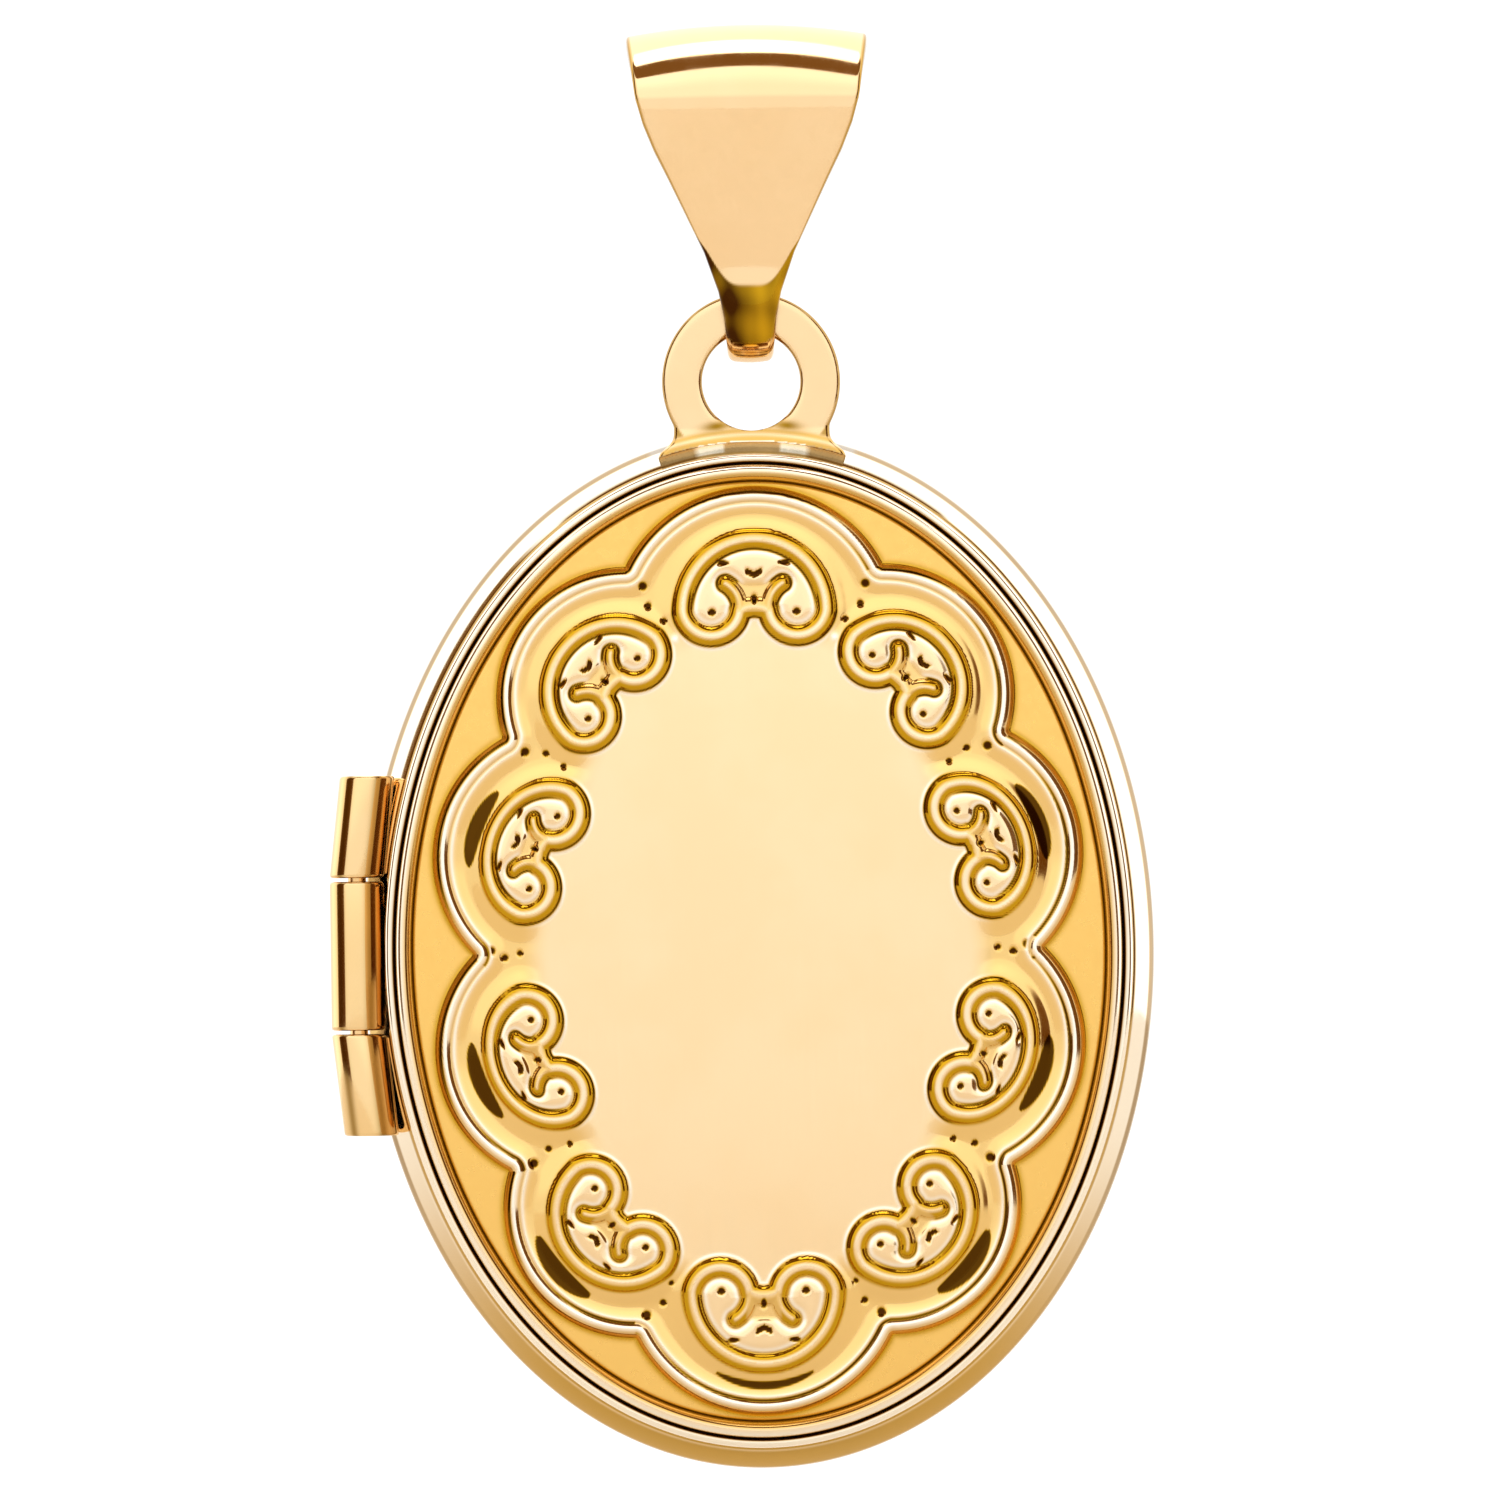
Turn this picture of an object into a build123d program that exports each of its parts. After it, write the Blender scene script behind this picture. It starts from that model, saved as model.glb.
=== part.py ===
from build123d import *
import os
from math import hypot, radians, tan

# Oval locket: two hinged halves hanging from a folded bail.
#
# Everything is first drawn about the middle of the case: X to the right, Z up, and Y = 0 at the
# seam between the two halves, with the front half towards -Y. The finished shapes then move down
# so that the origin is the middle of the chain channel in the bail.
# A radius of the case is given along X; the same line is taller than wide by case_stretch.

# ---- case ----
girdle_radius = 7.50          # widest line of the back rim
case_stretch = 2.33           # half height minus half width, the same for every oval line
seam_gap = 0.02               # each half stops this far from the seam
lid_radius = 7.07             # upright outer wall of the front rim
bore_radius = 6.75            # inside of the front rim, runs over the collar
stack_radius = 6.45           # narrower bore that holds card, window and frame
step_height = 0.52            # where the bore narrows
seat_height = 1.00            # cover plates sit here
lip_height = 1.24
plate_radius = 6.91           # cover plates
plate_clearance = 0.03
bead_inner_radius = 6.62
bead_height = 1.42
dome_radius = 6.76            # the domed middle reaches this far under the bead
plate_edge_height = 1.20

# ---- covers ----
field_centre_height = 1.48
pad_rise = 0.14               # scalloped pad above the field
ridge_rise = 0.26             # scrolls above the field
hollow_radius = 6.20
hollow_centre_height = 1.18
back_centre_height = 1.70
back_flat_height = 1.60       # a flat oval on the back to lie on

# ---- scalloped pad: its inward points, and how far each lobe bulges ----
top_cusp = (2.44, 7.30)
upper_cusp = (4.80, 4.10)
side_cusp = (5.42, 0.00)
end_bulge = 1.47
shoulder_bulge = 1.00
side_bulge = 1.03

# ---- scrolls: one pair of curls under an arch in each lobe ----
end_lobe = (0.00, 6.41)
shoulder_lobe = (2.69, 5.00)
side_lobe = (4.05, 1.92)
shoulder_turn = 50            # degrees from upright
side_turn = 68
small_scale = 0.92
arch_radius = 1.35
curl_radius = 0.54
ridge_width = 0.30

# ---- closing collar and catch ----
collar_outer = 6.68
collar_inner = 6.42
collar_reach = 0.40
catch_radius = 6.73
catch_height = (0.16, 0.32)
catch_half_length = 1.2

# ---- photo stack in each half ----
card_thickness = 0.14
window_thickness = 0.14
stack_disc_radius = 6.40
frame_outer = 6.37
frame_inner = 5.75
frame_height = (0.40, 0.69)

# ---- hinge ----
hinge_x = -7.60
knuckle_radius = 0.52
pin_hole_radius = 0.20
pin_radius = 0.17
middle_half_length = 1.41
outer_start = 1.48
outer_end = 3.41
outer_lean = 6.5              # degrees, so the outer knuckles follow the oval
knuckle_relief = 0.055

# ---- suspension loop ----
loop_z = 10.78
loop_outer = 1.69
loop_hole = 0.93
loop_thickness = 0.50
foot_half_width = 1.75
foot_thickness = 0.60
nick_half_width = 0.52
nick_top = 9.53

# ---- bail ----
channel_z = 16.13
channel_radius = 1.10
strip_thickness = 0.32
neck_z = 12.09
neck_radius = 0.58
bail_half_width = 2.24
bail_top_edge = 17.35


def oval_path(radius):
    """Closed oval line in the seam plane, starting on +X."""
    plane = Plane(origin=(0, 0, 0), x_dir=(1, 0, 0), z_dir=(0, -1, 0))
    edge = Edge.make_ellipse(radius, radius + case_stretch, plane=plane)
    return Wire([edge])


def oval_slab(radius, start, end):
    """Oval plate between two depths, front negative and back positive."""
    sketch = Plane.XZ * Ellipse(radius, radius + case_stretch)
    return Pos(0, start, 0) * extrude(sketch, amount=end - start, dir=(0, 1, 0))


def oval_ring(outer, inner, start, end):
    return oval_slab(outer, start, end) - oval_slab(inner, start - 0.1, end + 0.1)


def oval_sweep(outline):
    """Carry a closed outline, drawn as (radius, depth) in XY, once round the case."""
    face = make_face(outline)
    path = oval_path(girdle_radius)
    return Part() + Solid.sweep(face.faces()[0], path)


def dome(radius, edge, centre, base):
    """Solid oval cap from a base depth up to a shallow curve."""
    middle = centre - (centre - edge) * 0.25
    curve = ThreePointArc((radius, edge), (radius / 2, middle), (0, centre))
    sides = Polyline((0, centre), (0, base), (radius, base), (radius, edge))
    cap = revolve(make_face(curve + sides), axis=Axis.Y)
    stretched = scale(cap, by=(1, 1, (radius + case_stretch) / radius))
    return Part() + stretched.solids()


def to_front(shape):
    return mirror(shape, about=Plane.XZ)


def save(shape, node):
    placed = Pos(0, 0, -channel_z) * shape
    placed.label = node
    export_step(placed, "parts/" + node + ".step")
    print(node, round(placed.volume, 4), "mm3,", len(placed.solids()), "solid")


# ---- rims, drawn with depth outwards from the seam ----
def rim_profile(bore, lip_radius, outer_wall):
    """Inner steps and lip shared by both rims; outer_wall runs from the seam to the lip."""
    seat_radius = plate_radius + plate_clearance
    lip = ThreePointArc((lip_radius, lip_height - 0.12), (lip_radius - 0.04, lip_height - 0.02),
                        (seat_radius, lip_height - 0.03))
    inside = Polyline((seat_radius, lip_height - 0.03), (seat_radius, seat_height),
                      (stack_radius, seat_height), (stack_radius, step_height),
                      (bore, step_height), (bore, seam_gap), (outer_wall[0]))
    return lip + inside


def make_front_rim():
    start = (lid_radius, seam_gap)
    wall = Line(start, (lid_radius, lip_height - 0.12))
    outline = rim_profile(bore_radius, lid_radius, [start]) + wall
    ring = to_front(oval_sweep(outline))
    groove_outer = catch_radius + 0.07
    groove = oval_ring(groove_outer, bore_radius - 0.1, -catch_height[1] - 0.03, -catch_height[0] + 0.03)
    side = Pos(girdle_radius, 0, 0) * Box(3, 3, 2 * catch_half_length + 0.2)
    return ring - (groove & side)


def make_back_rim():
    start = (girdle_radius - 0.12, seam_gap)
    edge = ThreePointArc(start, (girdle_radius - 0.035, seam_gap + 0.05), (girdle_radius, seam_gap + 0.16))
    upright = Line((girdle_radius, seam_gap + 0.16), (girdle_radius, 0.36))
    lip_radius = lid_radius + 0.04
    wall = ThreePointArc((girdle_radius, 0.36), (girdle_radius - 0.12, 0.80), (lip_radius, lip_height - 0.12))
    outline = rim_profile(collar_outer + 0.01, lip_radius, [start]) + edge + upright + wall
    return oval_sweep(outline)


# ---- covers ----
def cover_bead():
    """Raised border of a cover plate, with its flat margin underneath."""
    crest = (plate_radius + bead_inner_radius) / 2
    bead = ThreePointArc((plate_radius, plate_edge_height), (crest, bead_height),
                         (bead_inner_radius, plate_edge_height))
    margin = Polyline((bead_inner_radius, plate_edge_height), (bead_inner_radius, seat_height),
                      (plate_radius, seat_height), (plate_radius, plate_edge_height))
    return oval_sweep(bead + margin)


def cover_plate(centre):
    plate = dome(dome_radius, plate_edge_height - 0.02, centre, seat_height)
    hollow = dome(hollow_radius, seat_height, hollow_centre_height, seat_height - 0.5)
    return plate + cover_bead() - hollow


def bulge(start, end, amount):
    """Arc between two points that stands out from the middle of the case."""
    middle = ((start[0] + end[0]) / 2, (start[1] + end[1]) / 2)
    length = hypot(end[0] - start[0], end[1] - start[1])
    across = ((end[1] - start[1]) / length, -(end[0] - start[0]) / length)
    if across[0] * middle[0] + across[1] * middle[1] < 0:
        across = (-across[0], -across[1])
    peak = (middle[0] + across[0] * amount, middle[1] + across[1] * amount)
    return ThreePointArc(start, peak, end)


def scallop_sketch():
    """Ten-lobed outline of the raised pad."""
    right = [
        bulge(top_cusp, upper_cusp, shoulder_bulge),
        bulge(upper_cusp, side_cusp, side_bulge),
    ]
    right = right + [mirror(arc, about=Plane.XZ) for arc in right]
    left = [mirror(arc, about=Plane.YZ) for arc in right]
    top = bulge((-top_cusp[0], top_cusp[1]), top_cusp, end_bulge)
    bottom = mirror(top, about=Plane.XZ)
    return make_face(Wire.combine([e for arc in right + left + [top, bottom] for e in arc.edges()]))


def scroll_sketch():
    """Ridge of one lobe: an arch that curls inwards at both ends."""
    curl_x = arch_radius - curl_radius
    arch = ThreePointArc((-arch_radius, 0), (0, arch_radius), (arch_radius, 0))
    right_curl = ThreePointArc((arch_radius, 0), (curl_x, -curl_radius), (curl_x - curl_radius, 0))
    right_tip = ThreePointArc((curl_x - curl_radius, 0), (curl_x - 0.40, 0.34), (curl_x - 0.14, 0.56))
    right = [right_curl, right_tip]
    left = [mirror(arc, about=Plane.YZ) for arc in right]
    line = Wire.combine([edge for arc in [arch] + right + left for edge in arc.edges()])[0]
    return make_face(line.offset_2d(ridge_width / 2, side=Side.BOTH, closed=True))


def raised_prism(sketch):
    """Stand a sketch of the case front up as a tall prism through the cover."""
    standing = Plane.XZ * sketch
    low = plate_edge_height - 0.12
    return Pos(0, low, 0) * extrude(standing, amount=1.0, dir=(0, 1, 0))


def lobe_places():
    """Centre, turn and scale of the scroll in every lobe."""
    places = [(end_lobe, 0, 1.0), ((0, -end_lobe[1]), 180, 1.0)]
    for (x, z), turn in ((shoulder_lobe, shoulder_turn), (side_lobe, side_turn)):
        places.append(((x, z), -turn, small_scale))
        places.append(((-x, z), turn, small_scale))
        places.append(((x, -z), -(180 - turn), small_scale))
        places.append(((-x, -z), 180 - turn, small_scale))
    return places


def make_front_cover():
    cover = cover_plate(field_centre_height)
    pad_limit = dome(dome_radius, plate_edge_height + pad_rise, field_centre_height + pad_rise, seat_height)
    ridge_limit = dome(dome_radius, plate_edge_height + ridge_rise, field_centre_height + ridge_rise,
                       seat_height)
    pad = raised_prism(scallop_sketch()) & pad_limit
    cover = cover + pad
    scroll = scroll_sketch()
    for (x, z), turn, size in lobe_places():
        placed = Pos(x, z) * Rot(0, 0, turn) * scale(scroll, by=size)
        cover = cover + (raised_prism(placed) & ridge_limit)
    return to_front(cover)


def make_back_cover():
    cover = cover_plate(back_centre_height)
    trim = Pos(0, back_flat_height + 1, 0) * Box(20, 2, 26)
    return cover - trim


# ---- hinge ----
def leaning_post(radius, start, end):
    """Upright post whose far end leans towards the case, with level ends."""
    lean = tan(radians(outer_lean))
    disc = Pos(hinge_x, 0, start) * Circle(radius)
    return extrude(disc, amount=end - start, dir=(lean, 0, 1))


def pin_hole():
    return Pos(hinge_x, 0, 0) * Cylinder(pin_hole_radius, 10)


def make_upper_knuckle():
    return leaning_post(knuckle_radius, outer_start, outer_end) - pin_hole()


def make_middle_knuckle():
    """Tube with the solder fillet that joins it to the front rim."""
    tube = Pos(hinge_x, 0, 0) * Cylinder(knuckle_radius, 2 * middle_half_length)
    fillet_height = 0.44
    block = Pos(hinge_x + 0.45, -fillet_height / 2 - seam_gap, 0)
    block = block * Box(0.44, fillet_height, 2 * middle_half_length - 0.1)
    return tube + (block - oval_slab(lid_radius + 0.005, -3, 1)) - pin_hole()


def clear_hinge(back_rim):
    """Pockets in the back rim: a close one for each outer knuckle, a free one for the middle."""
    close = leaning_post(knuckle_radius + 0.01, outer_start - 0.01, outer_end + 0.01)
    swing = Pos(hinge_x, 0, 0) * Cylinder(knuckle_radius + knuckle_relief, 2 * outer_start + 0.1)
    return back_rim - close - mirror(close, about=Plane.XY) - swing


# ---- suspension loop ----
def make_loop(back_rim):
    """Flat ring whose foot wraps the top of the back rim."""
    ring = Pos(0, 0, loop_z) * Rot(90, 0, 0) * Cylinder(loop_outer, loop_thickness)
    ring = fillet(ring.edges(), 0.12)
    waist = (1.42, 9.95)
    flare = (foot_half_width, 9.50)
    low = 9.20
    right = ThreePointArc(waist, (1.50, 9.68), flare)
    left = ThreePointArc((-flare[0], flare[1]), (-1.50, 9.68), (-waist[0], waist[1]))
    base = Polyline(flare, (flare[0], low), (-flare[0], low), (-flare[0], flare[1]))
    top = Line((-waist[0], waist[1]), waist)
    foot = extrude(Plane.XZ * make_face(right + base + left + top), amount=foot_thickness / 2, both=True)
    hole = Pos(0, 0, loop_z) * Rot(90, 0, 0) * Cylinder(loop_hole, 2)
    nick = Pos(0, -0.5, nick_top - 0.5) * Box(2 * nick_half_width, 1, 1)
    lid_space = oval_slab(lid_radius + 0.04, -2, seam_gap)
    return ring + foot - hole - nick - lid_space - back_rim - oval_slab(collar_outer + 0.3, 0, 1.2)


# ---- bail ----
def make_bail():
    """Strip folded over the chain channel and closed round the loop, cut to its front outline."""
    def folded(top_radius, bottom_radius):
        top = Pos(0, channel_z) * Circle(top_radius)
        bottom = Pos(0, neck_z) * Circle(bottom_radius)
        return make_hull([*top.edges(), *bottom.edges()])

    strip = folded(channel_radius + strip_thickness, neck_radius + strip_thickness)
    strip = strip - folded(channel_radius, neck_radius)
    body = extrude(Plane.YZ * strip, amount=bail_half_width + 0.2, both=True)

    side = Spline((bail_half_width, bail_top_edge), (2.13, 16.20), (1.53, 14.65), (0.85, 13.25),
                  (0.50, 12.10), (0.42, 11.50))
    tip = ThreePointArc((0.42, 11.50), (0, 11.15), (-0.42, 11.50))
    crown = ThreePointArc((-bail_half_width, bail_top_edge), (0, 17.60), (bail_half_width, bail_top_edge))
    front = make_face(side + tip + mirror(side, about=Plane.YZ) + crown)
    return body & extrude(Plane.XZ * front, amount=4, both=True)


# ---- inside ----
def make_catch():
    wire = oval_ring(catch_radius, collar_outer - 0.12, -catch_height[1], -catch_height[0])
    return wire & (Pos(girdle_radius, 0, 0) * Box(3, 3, 2 * catch_half_length))


def make_collar():
    ring = oval_ring(collar_outer, collar_inner, -collar_reach, step_height)
    slot = oval_ring(collar_outer + 0.1, collar_outer - 0.125, -catch_height[1] - 0.005, -catch_height[0] + 0.005)
    return ring - (slot & (Pos(girdle_radius, 0, 0) * Box(3, 3, 2 * catch_half_length + 0.01)))


def make_stack():
    """Card, window and frame of the back half."""
    card_top = seat_height - 0.01
    window_top = card_top - card_thickness
    card = oval_slab(stack_disc_radius, card_top - card_thickness, card_top)
    window = oval_slab(stack_disc_radius, window_top - window_thickness, window_top)
    frame = oval_ring(frame_outer, frame_inner, frame_height[0], frame_height[1])
    return card, window, frame


os.makedirs("parts", exist_ok=True)

back_rim = make_back_rim()
loop = make_loop(back_rim)
upper_knuckle = make_upper_knuckle()
card, window, frame = make_stack()

save(make_bail(), "bail")
save(loop, "suspension_loop")
save(clear_hinge(back_rim), "back_rim")
save(make_back_cover(), "back_cover")
save(make_collar(), "closing_collar")
save(make_catch(), "catch_bead")
save(upper_knuckle, "upper_knuckle")
save(mirror(upper_knuckle, about=Plane.XY), "lower_knuckle")
save(Pos(hinge_x, 0, 0) * Cylinder(pin_radius, 2 * outer_end), "hinge_pin")
save(card, "back_photo_card")
save(window, "back_photo_window")
save(frame, "back_photo_frame")

save(make_front_rim(), "front_rim")
save(make_front_cover(), "front_cover")
save(make_middle_knuckle(), "middle_knuckle")
save(to_front(card), "front_photo_card")
save(to_front(window), "front_photo_window")
save(to_front(frame), "front_photo_frame")
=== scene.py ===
"""Looks of the oval locket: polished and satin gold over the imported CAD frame.

Lengths are in millimetres about the middle of the case, with depth outwards from the seam,
until new_piece() turns them into metres in the frame.
"""

import math

import bpy
import numpy as np
from mathutils import Matrix, Vector


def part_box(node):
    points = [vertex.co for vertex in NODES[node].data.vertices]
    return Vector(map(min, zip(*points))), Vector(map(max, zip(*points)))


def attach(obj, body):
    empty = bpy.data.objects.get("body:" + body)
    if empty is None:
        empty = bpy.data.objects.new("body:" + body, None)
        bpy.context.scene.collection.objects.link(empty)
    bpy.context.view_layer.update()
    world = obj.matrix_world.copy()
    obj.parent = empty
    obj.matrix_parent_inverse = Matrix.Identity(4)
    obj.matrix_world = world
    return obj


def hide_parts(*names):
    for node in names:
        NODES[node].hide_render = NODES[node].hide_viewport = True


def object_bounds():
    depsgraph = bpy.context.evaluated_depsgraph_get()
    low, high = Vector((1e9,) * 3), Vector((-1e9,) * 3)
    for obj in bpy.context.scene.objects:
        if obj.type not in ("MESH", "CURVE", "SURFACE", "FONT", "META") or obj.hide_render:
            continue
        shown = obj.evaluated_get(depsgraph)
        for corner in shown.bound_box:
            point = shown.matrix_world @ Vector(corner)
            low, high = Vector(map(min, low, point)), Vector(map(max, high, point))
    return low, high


MM = 0.001
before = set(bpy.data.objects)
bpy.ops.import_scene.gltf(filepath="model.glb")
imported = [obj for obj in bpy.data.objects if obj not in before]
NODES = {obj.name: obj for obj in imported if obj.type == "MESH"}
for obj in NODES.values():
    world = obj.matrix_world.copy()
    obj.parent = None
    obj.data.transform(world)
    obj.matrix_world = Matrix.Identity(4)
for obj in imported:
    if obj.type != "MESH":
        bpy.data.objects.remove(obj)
CAD_BOX = [list(corner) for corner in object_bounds()]


def box_mm(node):
    low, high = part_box(node)
    return np.array(low) / MM, np.array(high) / MM


# ---- case sizes, read from the frame where it has them ----
RIM_LOW, RIM_HIGH = box_mm("back_rim")
CASE = np.array([0.0, 0.0, (RIM_LOW[2] + RIM_HIGH[2]) / 2])
GIRDLE = RIM_HIGH[0]
STRETCH = (RIM_HIGH[2] - RIM_LOW[2]) / 2 - GIRDLE
LID = 7.07
PLATE = 6.90
COVER_EDGE = PLATE - 0.02
BEAD_IN = 6.58
BEAD_BASE = 1.20
BEAD_TOP = 1.42
SEAT = 1.00
HOLLOW = 0.17
LIP = 1.24
STACK = 6.45
STEP = 0.52
BORE = 6.75
COLLAR = 6.68
GAP = 0.02
DOME = 6.76
FIELD_TOP = 1.48
BACK_TOP = 1.70
BACK_FLAT = 1.60
APRON = 6.40
HOLLOW_EDGE = 6.25

# ---- relief of the front ----
CUSP_TOP = (2.44, 7.30)
CUSP_UPPER = (4.80, 4.10)
CUSP_SIDE = (5.42, 0.00)
BULGE_END = 1.50
BULGE_SHOULDER = 1.00
BULGE_SIDE = 1.03
LOBE_END = (0.00, 6.41)
LOBE_SHOULDER = (2.69, 5.00)
LOBE_SIDE = (4.05, 1.92)
TURN_SHOULDER = 50
TURN_SIDE = 68
SMALL = 0.92
ARCH = 1.36
CURL_X = 0.815
CURL_DEPTH = 0.45
CURL_IN = 0.27
PAD = 0.13
PANEL = 0.10

# ---- hinge, loop and bail ----
HINGE_X = -7.60
KNUCKLE = 0.52
MIDDLE = 1.41
OUTER_START = 1.48
OUTER_END = 3.41
LEAN = math.tan(math.radians(6.5))
PIN_HOLE = 0.20
LOOP_Z = 10.78
LOOP_OUT = 1.69
LOOP_HOLE = 0.93
LOOP_HALF = 0.25
# height, half width and half thickness of the loop's foot, from the case upwards
FOOT = (
    (9.15, 1.86, 0.36), (9.45, 1.74, 0.34), (9.55, 1.62, 0.33), (9.64, 1.53, 0.31),
    (9.74, 1.48, 0.27), (9.92, 1.475, 0.24), (10.10, 1.50, 0.21),
)
MELT_SCALE = 1000  # the loop is melted together at this many times its size
CHANNEL_Z = -CASE[2]
CHANNEL = 1.10
STRIP = 0.32
NECK_Z = 12.09
NECK = 0.58

# ---- points round the case ----
ROUND = 1200
RIM_ROUND = 800
BACK_ROUND = 600


# ---- mesh helpers ----
def grid_quads(rows, cols, wrap_rows=False, wrap_cols=True):
    """Quads of a grid of points numbered row by row."""
    r = np.arange(rows if wrap_rows else rows - 1)
    c = np.arange(cols if wrap_cols else cols - 1)
    r, c = np.meshgrid(r, c, indexing="ij")
    r2, c2 = (r + 1) % rows, (c + 1) % cols
    return np.stack([r * cols + c, r * cols + c2, r2 * cols + c2, r2 * cols + c], -1).reshape(-1, 4)


def new_piece(name, points, quads, material, body, replaces=(), tris=None, masks=None, flip=False):
    points = (np.asarray(points, float) + CASE) * MM
    faces = [list(map(int, q)) for q in (quads[:, ::-1] if flip else quads)]
    if tris is not None:
        faces += [list(map(int, t)) for t in (tris[:, ::-1] if flip else tris)]
    mesh = bpy.data.meshes.new(name)
    mesh.from_pydata(points.tolist(), [], faces)
    mesh.shade_smooth()
    piece = bpy.data.objects.new(name, mesh)
    bpy.context.scene.collection.objects.link(piece)
    for key, values in (masks or {}).items():
        paint(piece, key, values)
    mesh.materials.append(material)
    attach(piece, body)
    if replaces:
        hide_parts(*replaces)
    return piece


def paint(piece, name, values):
    layer = piece.data.attributes.new(name, "FLOAT", "POINT")
    layer.data.foreach_set("value", np.clip(values, 0, 1).astype(np.float32))


def oval(radius, count):
    """Points of the oval line at a radius, a true offset of the girdle."""
    t = np.arange(count) * 2 * math.pi / count
    a, b = GIRDLE, GIRDLE + STRETCH
    across = np.stack([b * np.cos(t), a * np.sin(t)], -1)
    across /= np.linalg.norm(across, axis=1)[:, None]
    return np.stack([a * np.cos(t), b * np.sin(t)], -1) + across * (radius - GIRDLE)


def oval_ring(profile, count, side):
    """Closed outline of (radius, depth) points carried round the case. side is -1 for the front."""
    rows = []
    for radius, depth in profile:
        line = oval(radius, count)
        rows.append(np.stack([line[:, 0], np.full(count, side * depth), line[:, 1]], -1))
    return np.concatenate(rows), grid_quads(len(profile), count, wrap_rows=True)


def arc_points(start, middle, end, count):
    """Points of the arc through three points."""
    (ax, ay), (bx, by), (cx, cy) = start, middle, end
    d = 2 * (ax * (by - cy) + bx * (cy - ay) + cx * (ay - by))
    ux = ((ax**2 + ay**2) * (by - cy) + (bx**2 + by**2) * (cy - ay) + (cx**2 + cy**2) * (ay - by)) / d
    uy = ((ax**2 + ay**2) * (cx - bx) + (bx**2 + by**2) * (ax - cx) + (cx**2 + cy**2) * (bx - ax)) / d
    radius = math.hypot(ax - ux, ay - uy)
    first = math.atan2(ay - uy, ax - ux)
    turn_middle = (math.atan2(by - uy, bx - ux) - first) % (2 * math.pi)
    turn = (math.atan2(cy - uy, cx - ux) - first) % (2 * math.pi)
    if turn_middle > turn:
        turn -= 2 * math.pi
    angles = first + turn * np.linspace(0, 1, count)
    return [(ux + radius * math.cos(a), uy + radius * math.sin(a)) for a in angles]


def rounded(points, radius, steps=4):
    """A closed outline with every corner rounded by up to radius."""
    out = []
    count = len(points)
    for i in range(count):
        before, here, after = (np.array(points[(i + k) % count], float) for k in (-1, 0, 1))
        to_before, to_after = before - here, after - here
        reach = min(radius, 0.45 * np.linalg.norm(to_before), 0.45 * np.linalg.norm(to_after))
        first = here + to_before / np.linalg.norm(to_before) * reach
        last = here + to_after / np.linalg.norm(to_after) * reach
        for k in range(steps + 1):
            s = k / steps
            out.append(tuple((1 - s) ** 2 * first + 2 * s * (1 - s) * here + s**2 * last))
    return out


def smoothstep(low, high, x):
    s = np.clip((x - low) / (high - low), 0, 1)
    return s * s * (3 - 2 * s)


def line_at(x, centre, width):
    """A soft line, 1 at centre and falling off over width."""
    return np.exp(-(((x - centre) / width) ** 2))


# ---- materials ----
class Nodes:
    """Short names for building a node tree."""

    def __init__(self, tree):
        self.tree = tree
        self.tree.nodes.clear()

    def add(self, kind, **values):
        node = self.tree.nodes.new(kind)
        for key, value in values.items():
            if key.startswith("in_"):
                self.set(node.inputs[key[3:].replace("_", " ")], value)
            else:
                setattr(node, key, value)
        return node

    def set(self, socket, value):
        if isinstance(value, bpy.types.NodeSocket):
            self.tree.links.new(value, socket)
        else:
            socket.default_value = value

    def math(self, operation, *values, clamp=False):
        node = self.tree.nodes.new("ShaderNodeMath")
        node.operation = operation
        node.use_clamp = clamp
        for socket, value in zip(node.inputs, values):
            self.set(socket, value)
        return node.outputs[0]

    def between(self, value, low, high, to_low=0.0, to_high=1.0):
        node = self.tree.nodes.new("ShaderNodeMapRange")
        node.interpolation_type = "SMOOTHSTEP"
        for socket, number in zip(node.inputs, (value, low, high, to_low, to_high)):
            self.set(socket, number)
        return node.outputs[0]

    def mix(self, share, first, second):
        node = self.tree.nodes.new("ShaderNodeMix")
        node.data_type = "RGBA"
        self.set(node.inputs[0], share)
        self.set(node.inputs[6], first)
        self.set(node.inputs[7], second)
        return node.outputs[2]

    def noise(self, scale, detail=2.0, stretch=(1, 1, 1), roughness=0.5):
        where = self.add("ShaderNodeTexCoord").outputs["Object"]
        mapped = self.add("ShaderNodeMapping")
        self.set(mapped.inputs["Vector"], where)
        mapped.inputs["Scale"].default_value = stretch
        node = self.add("ShaderNodeTexNoise", in_Scale=scale, in_Detail=detail, in_Roughness=roughness)
        self.set(node.inputs["Vector"], mapped.outputs[0])
        return node.outputs["Fac"]

    def mask(self, name):
        return self.add("ShaderNodeAttribute", attribute_name=name).outputs["Fac"]


GOLD = (0.94, 0.705, 0.415, 1)
GOLD_WARM = (0.935, 0.685, 0.39, 1)
GOLD_FIELD = (0.89, 0.555, 0.155, 1)
# The tan, deep and dark tints below are painted shade, and the pale tint is a painted highlight.
GOLD_TAN_SHADE = (0.87, 0.575, 0.21, 1)
GOLD_SHADE = (0.58, 0.31, 0.010, 1)
GOLD_HIGHLIGHT = (1.0, 0.93, 0.80, 1)
GOLD_DARK_SHADE = (0.055, 0.016, 0.002, 1)


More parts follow.
